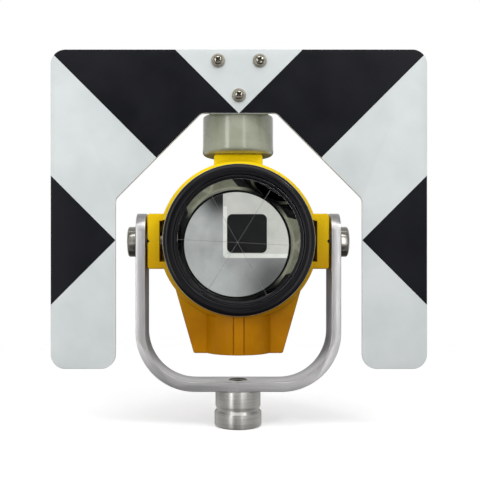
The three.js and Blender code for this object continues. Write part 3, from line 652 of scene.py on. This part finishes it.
def prism_holder():
    (x0, x1), _, (z0, z1) = spans("prism_holder")
    top = z1 - PIVOT_Z
    foot = z0 - PIVOT_Z
    flange = spans("canister_body")[0][1]
    front, back = -8, 8
    barrel = turned([
        (30, -15), (41, -15, 1.1), (41, 15, 1.1), (30, 15),
    ], "y", FINE_TURN, PIVOT)
    lugs = slab([
        (x0, -14.5, 1.2), (x1, -14.5, 1.2), (x1, 14.5, 1.2), (x0, 14.5, 1.2),
    ], "y", front, back, 0.7, PIVOT)
    head_block = slab([
        (-12.75, 20), (12.75, 20), (12.75, top, 1.5), (-12.75, top, 1.5),
    ], "y", front, back, 0.7, PIVOT)
    skirt = slab([
        (-23.3, foot, 0.8), (23.3, foot, 0.8), (33.17, -24.1), (-33.17, -24.1),
    ], "y", front, back, 0.8, PIVOT)
    boss = turned([(0, foot), (18.5, foot, 0.8), (18.5, -30), (0, -30)], "z", FINE_TURN, PIVOT)
    rib = slab([
        (-2.4, -18.9, 0.3), (2.4, -18.9, 0.3), (2.4, -10), (-2.4, -10),
    ], "z", foot + 0.3, -30, 0.2, PIVOT)
    holder = joined(barrel, lugs, head_block, skirt, boss, rib)
    softened(holder, 0.5, 32, 3, lambda e: e.is_convex is False)
    for side in (-1, 1):
        seam = (side * 2.75 - 0.2, side * 2.75 + 0.2)
        cut(holder, block(seam, (-18.9, -17.6), (foot - 1, -30), origin=PIVOT))
    cut(
        holder,
        turned([
            (0, foot - 1), (14.9, foot - 1), (14.9, foot), (14.5, foot + 0.4), (14.5, foot + 12),
            (0, foot + 12),
        ], "z", 128, PIVOT),
        turned([
            (0, -16), (36.1, -16), (36.1, -15), (35.3, -14.2), (35.3, 14.2), (36.1, 15), (36.1, 16),
            (0, 16),
        ], "y", FINE_TURN, PIVOT),
        turned([(0, -20), (flange + 0.3, -20), (flange + 0.3, -15), (0, -15)], "y", FINE_TURN, PIVOT),
        rod("z", 4.2, top - 7.6, top + 1, PIVOT),
    )
    for side in (-1, 1):
        pocket_x = sorted((side * 41.3, 0))
        cut(
            holder,
            block(pocket_x, (-16, 6), (-10.7, 10.7), "y", 0.3, origin=PIVOT),
            faced(rod("x", 4.8, 40, 49, PIVOT), side),
            faced(slab([(x1 - 1.3, 0), (x1 + 0.3, -1.6), (x1 + 0.3, 1.6)], "y", -9, 9, 0, PIVOT), side),
        )
    return holder


# ---- Canister and what it holds ----


FRONT_THREAD_PITCH = 0.8


def canister_body():
    (_, flange), (y0, y1), _ = spans("canister_body")
    flange_back = -15.1
    thread = []
    pitch = FRONT_THREAD_PITCH
    for k in range(5):
        low = y0 + 0.3 + k * pitch
        thread += [(33.2, low), (33.75, low + pitch / 2)]
    neck = y1 - 5.3
    return turned([
        (34.0, y0, 0.3), (flange, y0, 2.6), (flange, flange_back, 0.5), (35, flange_back), (35, y1, 0.4),
        (33.8, y1), (33.8, neck), (32.4, neck), (32.4, y0 + 4), (33.2, y0 + 4.0),
        *reversed(thread[1:]), (33.2, y0 + 0.3),
    ], "y", 192, PIVOT)


def front_ring():
    _, (y0, y1), _ = spans("front_ring")
    ring = turned([
        (31.1, y1), (31.1, y0 + 0.7), (31.7, y0, 0.2), (33.0, y0, 0.3), (33.0, y1),
    ], "y", 192, PIVOT)
    for angle in (35, 125, 215, 305):
        slot = block((30, 34), (y0 - 1, y0 + 0.8), (-0.8, 0.8), origin=PIVOT)
        cut(ring, spun_round(slot, "y", angle, PIVOT))
    return ring


def front_gasket():
    (_, x1), (y0, y1), _ = spans("front_gasket")
    return turned([(31.1, y0, 0.15), (x1, y0), (x1, y1), (31.1, y1, 0.15)], "y", FINE_TURN, PIVOT)


EDGE_ANGLES = (178, 58, 298)
BLACK_WALL = 5.5
BARE_STRIP = 2.0


def prism_glass():
    (_, radius), (y0, y1), _ = spans("prism_glass")
    apex = (PIVOT + Vector((0, y1, 0))) * MM
    bm = bmesh.new()
    lathe = turned([(0, y0), (radius, y0, 0.35), (radius, y1 + 2), (0, y1 + 2)], "y", 256, PIVOT)
    bm.from_mesh(lathe.data)
    bpy.data.objects.remove(lathe)
    outward = []
    for angle in EDGE_ANGLES:
        turn = math.radians(angle)
        edge = Vector((math.cos(turn) * math.sqrt(2), -1, math.sin(turn) * math.sqrt(2))).normalized()
        outward.append(-edge)
        found = bmesh.ops.bisect_plane(bm, geom=bm.verts[:] + bm.edges[:] + bm.faces[:], dist=1e-8,
                                       plane_co=apex, plane_no=-edge, clear_outer=True)["geom_cut"]
        bmesh.ops.edgeloop_fill(bm, edges=[g for g in found if isinstance(g, bmesh.types.BMEdge)])
    closed_up(bm)
    back = [e for e in bm.edges if len(e.link_faces) == 2
            and all(max(f.normal.dot(n) for n in outward) > 0.999 for f in e.link_faces)
            and e.calc_face_angle(0) > 1]
    bmesh.ops.bevel(bm, geom=back, offset=0.12 * MM, offset_type="OFFSET", segments=1, profile=0.5,
                    affect="EDGES", clamp_overlap=True, material=-1)
    for face in bm.faces:
        if face.normal.y < -0.999:
            face.material_index = 0
        elif max(face.normal.dot(n) for n in outward) > 0.999:
            face.material_index = 1
        else:
            middle = face.calc_center_median() - PIVOT * MM
            side_wall = math.hypot(middle.x, middle.z) > (radius - 1) * MM
            face.material_index = 2 if side_wall else 3
    return made(bm)


def rear_cushion():
    (_, x1), (y0, y1), _ = spans("rear_cushion")
    apex = spans("prism_glass")[1][1]
    wide = (apex - y0) * math.sqrt(2) + 0.3
    narrow = (apex - y1) * math.sqrt(2) + 0.3
    return turned([(wide, y0), (x1, y0, 0.4), (x1, y1, 0.4), (narrow, y1)], "y", 96, PIVOT)


def cap_seal():
    (_, x1), (y0, y1), _ = spans("cap_seal")
    return turned([(x1 - 1, y0, 0.3), (x1, y0, 0.3), (x1, y1, 0.3), (x1 - 1, y1, 0.3)], "y", 128, PIVOT)


def canister_cap():
    _, (y0, y1), _ = spans("canister_cap")
    face = y1 - 9.4
    cap = turned([
        (0, y1 - 2.2), (31.6, y1 - 2.2), (31.6, y0), (33.6, y0, 0.3), (33.6, face),
        (34.6, face), (34.9, face + 0.4), (34.9, y1 - 2.6, 0.3), (32.8, y1, 1.0),
        (12.4, y1), (12, y1 - 0.4), (12, y1 - 0.8), (0, y1 - 0.8),
    ], "y", 192, PIVOT)
    bm = bmesh.new()
    bm.from_mesh(cap.data)
    band = []
    for f in bm.faces:
        middle = f.calc_center_median() - PIVOT * MM
        around = math.degrees(math.atan2(middle.z, middle.x)) % 360
        if abs(f.normal.y) < 0.05 and math.hypot(middle.x, middle.z) > 34.7 * MM and int(around / 1.875) % 2:
            band.append(f)
    bmesh.ops.inset_individual(bm, faces=band, thickness=0.16 * MM, depth=-0.4 * MM)
    bm.to_mesh(cap.data)
    bm.free()
    for angle in (0, 180):
        hole = rod("y", 1.5, y1 - 1.5, y1 + 1, PIVOT + Vector((22, 0, 0)), 32)
        cut(cap, spun_round(hole, "y", angle, PIVOT))
    return cap


# ---- Target ----


def target_spigot():
    _, _, (z0, z1) = spans("target_spigot")
    foot = z0 + 7.6
    groove = foot + 6.9
    return turned([
        (0, z0), (4, z0, 0.4), (4, foot), (6, foot), (6, groove - 2.3), (5.2, groove - 2.0),
        (5.2, groove + 2.0), (6, groove + 2.3), (6, z1, 0.8), (0, z1),
    ], "z", 96)


def target_mount():
    (_, x1), (y0, _), (z0, z1) = spans("target_mount")
    mount_top = z0 + 20.2
    barrel = turned([(0, z0), (x1 + 0.15, z0, 1.9), (x1 + 0.15, z0 + 4.0, 1.2), (x1, z0 + 5.5, 1.2),
                     (x1, mount_top, 0.6), (0, mount_top)], "z", FINE_TURN)
    tongue_back = y0 + 4
    tongue = slab([
        (-15, mount_top - 1.9), (15, mount_top - 1.9), (15, z1, 4), (-15, z1, 4),
    ], "y", y0, tongue_back, 0.4)
    joined(barrel, tongue)
    for side in (-8, 8):
        gusset = slab([
            (tongue_back - 2, mount_top - 1.5), (tongue_back + 11, mount_top - 1.5),
            (tongue_back + 11, mount_top), (tongue_back, mount_top + 12), (tongue_back - 2, mount_top + 12),
        ], "x", side - 1.25, side + 1.25, 0.3)
        joined(barrel, gusset)
    set_screw_z = joint_places["set_screw_turn"][2] / MM
    cut(
        barrel,
        turned([
            (0, z0 - 1), (6.9, z0 - 1), (6.9, z0), (6.3, z0 + 0.6), (6.3, z0 + 12.5), (0, z0 + 12.5),
        ], "z", 96),
        rod("y", 2.2, 0, 20, (0, 0, set_screw_z), 48),
    )
    for x, z in TARGET_SCREWS.values():
        cut(barrel, rod("y", 1.7, y0 - 1, tongue_back + 1, (x, 0, z), 32))
    return barrel


def middle_of(node):
    (x0, x1), _, (z0, z1) = spans(node)
    return (x0 + x1) / 2, (z0 + z1) / 2


TARGET_SCREWS = {name: middle_of(f"target_screw_{name}") for name in ("left", "right", "lower")}
RECESS_TURN = {"left": 43, "right": 28, "lower": 50}


def mount_set_screw():
    _, (y0, y1), _ = spans("mount_set_screw")
    centre = Vector((0, 0, joint_places["set_screw_turn"][2] / MM))
    body = turned([(0, y0), (1.5, y0), (2, y0 + 0.5), (2, y1 - 0.3), (1.7, y1), (0, y1)], "y", 48, centre)
    return cut(body, rod("y", 1.15, y1 - 2, y1 + 1, centre, 6))


def target_plate():
    (x0, x1), (y0, y1), (z0, z1) = spans("target_plate")
    corner = 7.5
    gap = PATTERN_REACH
    cut_top = z1 - 32.3
    cut_side = cut_top - (gap - 19)
    plate = slab([
        (x0, z1, corner), (x0, z0, corner), (-gap, z0, corner), (-gap, cut_side, 1.5), (-19, cut_top, 1.0),
        (19, cut_top, 1.0), (gap, cut_side, 1.5), (gap, z0, corner), (x1, z0, corner), (x1, z1, corner),
    ], "y", y0, y1, 0.3)
    for x, z in TARGET_SCREWS.values():
        cut(plate, rod("y", 1.7, y0 - 1, y1 + 1, (x, 0, z), 32))
    bm = bmesh.new()
    bm.from_mesh(plate.data)
    for face in bm.faces:
        face.material_index = 0 if face.normal.y < -0.9 else 1
    bm.to_mesh(plate.data)
    bm.free()
    return plate


def target_washer(name):
    _, (y0, y1), _ = spans(f"target_washer_{name}")
    x, z = TARGET_SCREWS[name]
    return turned([(1.7, y0), (3.5, y0, 0.18), (3.5, y1, 0.18), (1.7, y1)], "y", 64, (x, 0, z))


def target_screw(name):
    _, (y0, y1), _ = spans(f"target_screw_{name}")
    x, z = TARGET_SCREWS[name]
    seat = y1 - 8
    body = turned([
        (0, y0), (1.7, y0 + 0.1, 0.6), (2.75, y0 + 1.0, 0.5), (2.8, seat), (1.5, seat),
        (1.5, y1 - 0.4), (1.1, y1), (0, y1),
    ], "y", 64, (x, 0, z))
    for turn in (0, 90):
        arm = slab([(-1.8, y0 - 0.5), (1.8, y0 - 0.5), (0.9, y0 + 1.7), (-0.9, y0 + 1.7)], "z",
                   z - 0.5, z + 0.5, origin=(x, 0, 0))
        cut(body, spun_round(arm, "y", RECESS_TURN[name] + turn, (x, 0, z)))
    for face in body.data.polygons:
        place = Vector(face.center) / MM
        in_recess = y0 + 0.2 < place.y < seat and math.hypot(place.x - x, place.z - z) < 2
        # faces inside the cross recess take the painted recess shade
        face.material_index = 1 if in_recess else 0
    return body


# ---- Assembly ----

ALUMINIUM = brushed_aluminium()
STEEL = turned_metal("turned stainless steel", (0.46, 0.455, 0.43), (0.63, 0.62, 0.595), 0.42, "z",
                     Anisotropic=0.85, Anisotropic_Rotation=0.25)
PIVOT_NICKEL = turned_metal("turned nickel", (0.36, 0.345, 0.31), (0.52, 0.50, 0.46), 0.15, "x", PIVOT)
# painted shade: the bushes seen in the lugs' pockets get a dark brown nickel for the shade there
SHADED_BUSH_NICKEL = turned_metal("shade-darkened nickel", (0.10, 0.075, 0.055), (0.24, 0.19, 0.15), 0.2, "x", PIVOT)
NICKEL = nickel_plate()
WASHER_NICKEL = dull_nickel()
# painted shade for the screws' cross recesses
RECESS_SHADE = painted_recess_shade()
YELLOW = yellow_plastic()
BLACK = black_anodised()
RUBBER = rubber()
NYLON = dark_nylon()

shown(yoke(), "yoke_bar", "yoke", "bracket", [ALUMINIUM])
shown(pole_adapter(), "threaded_adapter", "pole_adapter", "bracket", [STEEL])
shown(adapter_screw(), "adapter_cap_screw", "adapter_screw", "bracket", [WASHER_NICKEL])
shown(prism_holder(), "moulded_holder", "prism_holder", "holder", [YELLOW])
for hand, side in (("left", -1), ("right", 1)):
    shown(pivot_screw(side), f"{hand}_pivot_screw", f"pivot_screw_{hand}", f"{hand}_pivot",
          [PIVOT_NICKEL])
    shown(friction_washer(side), f"{hand}_friction_washer", f"friction_washer_{hand}", "holder",
          [NYLON])
    shown(pivot_bush(side), f"{hand}_threaded_bush", f"pivot_bush_{hand}", "holder", [SHADED_BUSH_NICKEL])
shown(canister_body(), "canister_tube", "canister_body", "canister", [BLACK])
shown(front_ring(), "retaining_ring", "front_ring", "canister", [BLACK])
shown(front_gasket(), "glass_gasket", "front_gasket", "canister", [RUBBER])
shown(prism_glass(), "corner_cube_glass", "prism_glass", "canister",
      [polished_glass(), silvered_glass(), ground_glass(), bevelled_edges()], crease=20)
shown(rear_cushion(), "foam_cushion", "rear_cushion", "canister", [foam()])
shown(cap_seal(), "cap_gasket", "cap_seal", "canister", [RUBBER])
shown(canister_cap(), "knurled_cap", "canister_cap", "canister", [BLACK])
shown(target_spigot(), "mount_spigot", "target_spigot", "holder", [NICKEL])
shown(target_mount(), "enamelled_mount", "target_mount", "target", [grey_gloss()])
shown(mount_set_screw(), "socket_set_screw", "mount_set_screw", "set_screw", [NICKEL])
shown(target_plate(), "painted_plate", "target_plate", "target",
      [painted_target(), white_paint()])
for name in TARGET_SCREWS:
    shown(target_washer(name), f"{name}_plate_washer", f"target_washer_{name}", "target",
          [WASHER_NICKEL])
    shown(target_screw(name), f"{name}_plate_screw", f"target_screw_{name}", "target",
          [NICKEL, RECESS_SHADE])


# ---- Studio ----

CAMERA = Vector((-8, -374, 84))


def camera():
    data = bpy.data.cameras.new("camera")
    data.lens = 52.5
    data.sensor_width = 36
    data.shift_x = 0.0354
    data.shift_y = 0.0583
    data.clip_start = 0.01
    data.clip_end = 50
    stand = bpy.data.objects.new("camera", data)
    stand.location = CAMERA * MM
    stand.rotation_euler = (math.radians(90), 0, 0)
    bpy.context.scene.collection.objects.link(stand)
    bpy.context.scene.camera = stand


def softbox(name, at, aim, wide, tall, power, shines=True):
    data = bpy.data.lights.new(name, "AREA")
    data.shape = "RECTANGLE"
    data.size = wide
    data.size_y = tall
    data.energy = power
    lamp = bpy.data.objects.new(name, data)
    lamp.location = at
    lamp.rotation_euler = (Vector(aim) - Vector(at)).to_track_quat("-Z", "Y").to_euler()
    lamp.visible_camera = False
    lamp.visible_glossy = shines
    bpy.context.scene.collection.objects.link(lamp)


def grey_ramp(tree, value, stops):
    """A grey that changes with value from -1 to 1 through (value, grey) stops."""
    ramp = tree.nodes.new("ShaderNodeValToRGB")
    rise = tree.nodes.new("ShaderNodeMapRange")
    rise.inputs["From Min"].default_value = -1
    first, *between, last = stops
    ramp.color_ramp.elements[0].color = (first[1], first[1], first[1], 1)
    ramp.color_ramp.elements[1].color = (last[1], last[1], last[1], 1)
    for at, grey in between:
        ramp.color_ramp.elements.new((at + 1) / 2).color = (grey, grey, grey, 1)
    tree.links.new(value, rise.inputs["Value"])
    tree.links.new(rise.outputs[0], ramp.inputs[0])
    return ramp.outputs[0]


ROOM_IN_FRONT = [
    (-1, 0.05), (-0.62, 0.10), (-0.36, 0.80), (-0.17, 0.76), (-0.07, 0.55), (0.1, 0.54), (0.5, 0.66),
    (1, 0.35),
]
ROOM_BEHIND = [(-1, 0.05), (-0.1, 0.02), (0.09, 0.03), (0.16, 0.92), (0.5, 0.7), (1, 0.35)]


def studio_world():
    """White behind the object, and a pale room in its reflections, dark low down at the back."""
    world = bpy.data.worlds.new("studio")
    world.use_nodes = True
    tree = world.node_tree
    tree.nodes.clear()
    place = tree.nodes.new("ShaderNodeTexCoord")
    split = tree.nodes.new("ShaderNodeSeparateXYZ")
    tree.links.new(place.outputs["Generated"], split.inputs[0])
    up = split.outputs[2]
    front = grey_ramp(tree, up, ROOM_IN_FRONT)
    back = grey_ramp(tree, up, ROOM_BEHIND)
    depth = tree.nodes.new("ShaderNodeMapRange")
    depth.inputs["From Min"].default_value = 0.82
    depth.inputs["From Max"].default_value = 0.95
    tree.links.new(split.outputs[1], depth.inputs["Value"])
    round_about = tree.nodes.new("ShaderNodeMix")
    round_about.data_type = "RGBA"
    seen = tree.nodes.new("ShaderNodeLightPath")
    room = tree.nodes.new("ShaderNodeBackground")
    white = tree.nodes.new("ShaderNodeBackground")
    white.inputs["Color"].default_value = (1, 1, 1, 1)
    blend = tree.nodes.new("ShaderNodeMixShader")
    out = tree.nodes.new("ShaderNodeOutputWorld")
    for a, b in (
        (depth.outputs[0], round_about.inputs[0]),
        (front, round_about.inputs[6]),
        (back, round_about.inputs[7]),
        (round_about.outputs[2], room.inputs["Color"]),
        (seen.outputs["Is Camera Ray"], blend.inputs[0]),
        (room.outputs[0], blend.inputs[1]),
        (white.outputs[0], blend.inputs[2]),
        (blend.outputs[0], out.inputs[0]),
    ):
        tree.links.new(a, b)
    bpy.context.scene.world = world


def pale_floor():
    """A pale floor under the object that fades into the white round it."""
    bm = bmesh.new()
    bmesh.ops.create_circle(bm, cap_ends=True, segments=96, radius=0.7)
    floor = made(bm)
    floor.name = "floor"
    finish = Finish("pale floor", (0.86, 0.86, 0.86), 0.6)
    finish.shader.inputs["Emission Color"].default_value = (1, 1, 1, 1)
    finish.shader.inputs["Emission Strength"].default_value = 0.36
    uneven = finish.noise(12, 3)
    finish.feed("Base Color", finish.tint(uneven, (0.84, 0.84, 0.84), (0.88, 0.88, 0.88)))
    x, y, _ = finish.parts()
    radius = finish.sum("SQRT", finish.sum("ADD", finish.sum("MULTIPLY", x, x), finish.sum("MULTIPLY", y, y)))
    clear = finish.node("ShaderNodeBsdfTransparent").outputs[0]
    share = finish.node("ShaderNodeMapRange", {
        "Value": radius, "From Min": 0.16, "From Max": 0.5,
    }, interpolation_type="SMOOTHSTEP").outputs[0]
    blend = finish.node("ShaderNodeMixShader", {0: share, 1: finish.shader.outputs[0], 2: clear})
    finish.tree.links.new(blend.outputs[0], finish.tree.nodes["Material Output"].inputs[0])
    floor.data.materials.append(finish.material)
    floor.visible_diffuse = False
    floor.visible_glossy = False


def reflected_card(name, corners, behind, light, dark, scale, spots=()):
    """A card beside the camera that only reflections see; a spot's two shades meet between its radii."""
    bm = bmesh.new()
    drawn_face(bm, corners, AXES["x"], AXES["z"], Vector((CAMERA.x, CAMERA.y - behind, CAMERA.z)))
    card = made(bm)
    card.name = name
    finish = Finish(name, (0, 0, 0), 1.0, Specular_IOR_Level=0.0)
    mottle = finish.noise(scale, 3)
    glow = finish.tint(mottle, dark, light)
    for x, z, near, far, inside, outside in spots:
        centre = ((CAMERA.x + x) * MM, (CAMERA.y - behind) * MM, (CAMERA.z + z) * MM)
        apart = finish.node("ShaderNodeVectorMath", {0: finish.place, 1: centre}, operation="DISTANCE")
        share = finish.node("ShaderNodeMapRange", {
            "Value": apart.outputs[1], "From Min": near * MM, "From Max": far * MM,
        }, interpolation_type="SMOOTHSTEP").outputs[0]
        glow = finish.mixed(share, inside or glow, outside or glow)
    finish.feed("Emission Color", glow)
    finish.shader.inputs["Emission Strength"].default_value = 1.0
    card.data.materials.append(finish.material)
    card.visible_camera = False
    card.visible_shadow = False
    card.visible_diffuse = False


camera()
studio_world()
pale_floor()
softbox("overhead softbox", (0.0, -0.35, 0.78), (0, 0, 0.1), 0.9, 0.6, 3.4)
softbox("left softbox", (-0.36, -0.50, 0.17), (0, 0, 0.1), 0.13, 0.55, 0.8)
softbox("right softbox", (0.20, -0.62, 0.17), (0, 0, 0.1), 0.10, 0.55, 0.42)
softbox("front fill", (-0.25, -0.95, 0.24), (0, 0, 0.12), 0.5, 0.3, 1.1, False)
softbox("window glint", (0.42, -0.50, 0.60), (0, 0, 0.1), 0.08, 0.08, 0.8)
reflected_card("dim studio", [(-105, -105), (105, -105), (105, 110), (-105, 110)], 3,
               (0.56, 0.565, 0.565), (0.43, 0.425, 0.43), 26,
               [(19, -52, 6, 34, (0.03, 0.03, 0.03), None), (-45, 48, 10, 58, (0.15, 0.15, 0.148), None),
                (0, 0, 68, 84, None, (0.04, 0.04, 0.04))])
reflected_card("pale panel", [(-90, -105), (16, -105), (16, 17, 6), (-90, 17)], 2,
               (0.75, 0.73, 0.69), (0.68, 0.665, 0.64), 14)
reflected_card("lit panel edge",
               [(-90, 17), (-90, 12.5), (11.6, 12.5), (11.6, -40), (16, -40), (16, 17, 4)], 1.5,
               (0.98, 0.97, 0.93), (0.88, 0.87, 0.83), 14)
reflected_card("dark lens plate", [(-32.3, -31.3, 6), (11.6, -31.3, 6), (11.6, 11.5, 6), (-32.3, 11.5, 6)], 1,
               (0.022, 0.023, 0.023), (0.016, 0.016, 0.016), 40)
reflected_card("dark stand", [(-170, -240), (-22, -240), (-22, -125), (-170, -125)], 0.5,
               (0.10, 0.10, 0.10), (0.06, 0.06, 0.06), 20)
reflected_card("thin dark stand", [(78, -240), (128, -240), (128, -125), (78, -125)], 0.5,
               (0.16, 0.16, 0.16), (0.10, 0.10, 0.10), 20)

bpy.context.scene.view_settings.view_transform = "Standard"
